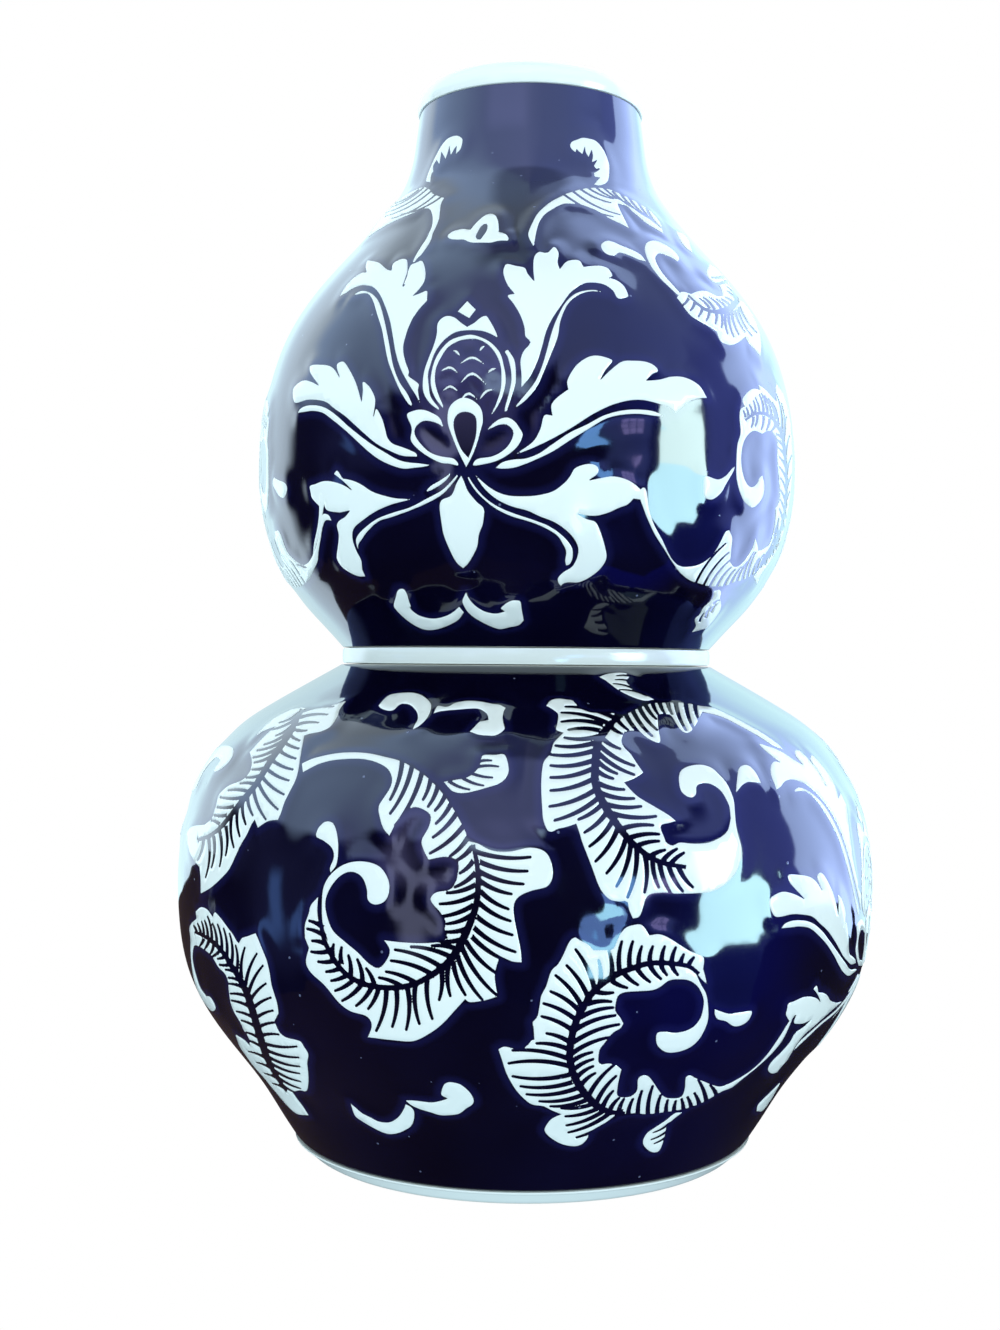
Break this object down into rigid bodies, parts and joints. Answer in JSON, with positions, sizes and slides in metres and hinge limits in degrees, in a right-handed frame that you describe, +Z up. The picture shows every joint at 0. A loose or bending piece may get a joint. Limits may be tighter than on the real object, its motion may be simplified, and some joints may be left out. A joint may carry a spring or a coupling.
{
  "type": "double gourd vase",
  "caption": "Double gourd vase in cobalt blue glaze with white raised lotus and feather scrolls, white lip, waist band and foot, for flowers or display.",
  "frame": {"origin": "centre of the foot ring on the ground plane", "axes": "+Z up along the axis of revolution, -Y towards the side that the picture shows"},
  "size_m": [0.2, 0.2, 0.305],
  "materials": {
    "blue_glaze": "deep cobalt glaze, glossy",
    "white_glaze": "clear glaze over white porcelain, glossy",
    "bare_porcelain": "unglazed fired slip, matt"
  },
  "bodies": {
    "root": {"foot_ring": "white_glaze", "base_floor": "white_glaze", "floor_bead": "bare_porcelain", "lower_bowl": "blue_glaze", "lower_shoulder": "blue_glaze", "lower_belly_bead": "bare_porcelain", "waist_collar": "white_glaze", "upper_bowl": "blue_glaze", "upper_shoulder": "blue_glaze", "upper_belly_bead": "bare_porcelain", "neck": "blue_glaze", "lip_ring": "white_glaze"}
  },
  "joints": []
}
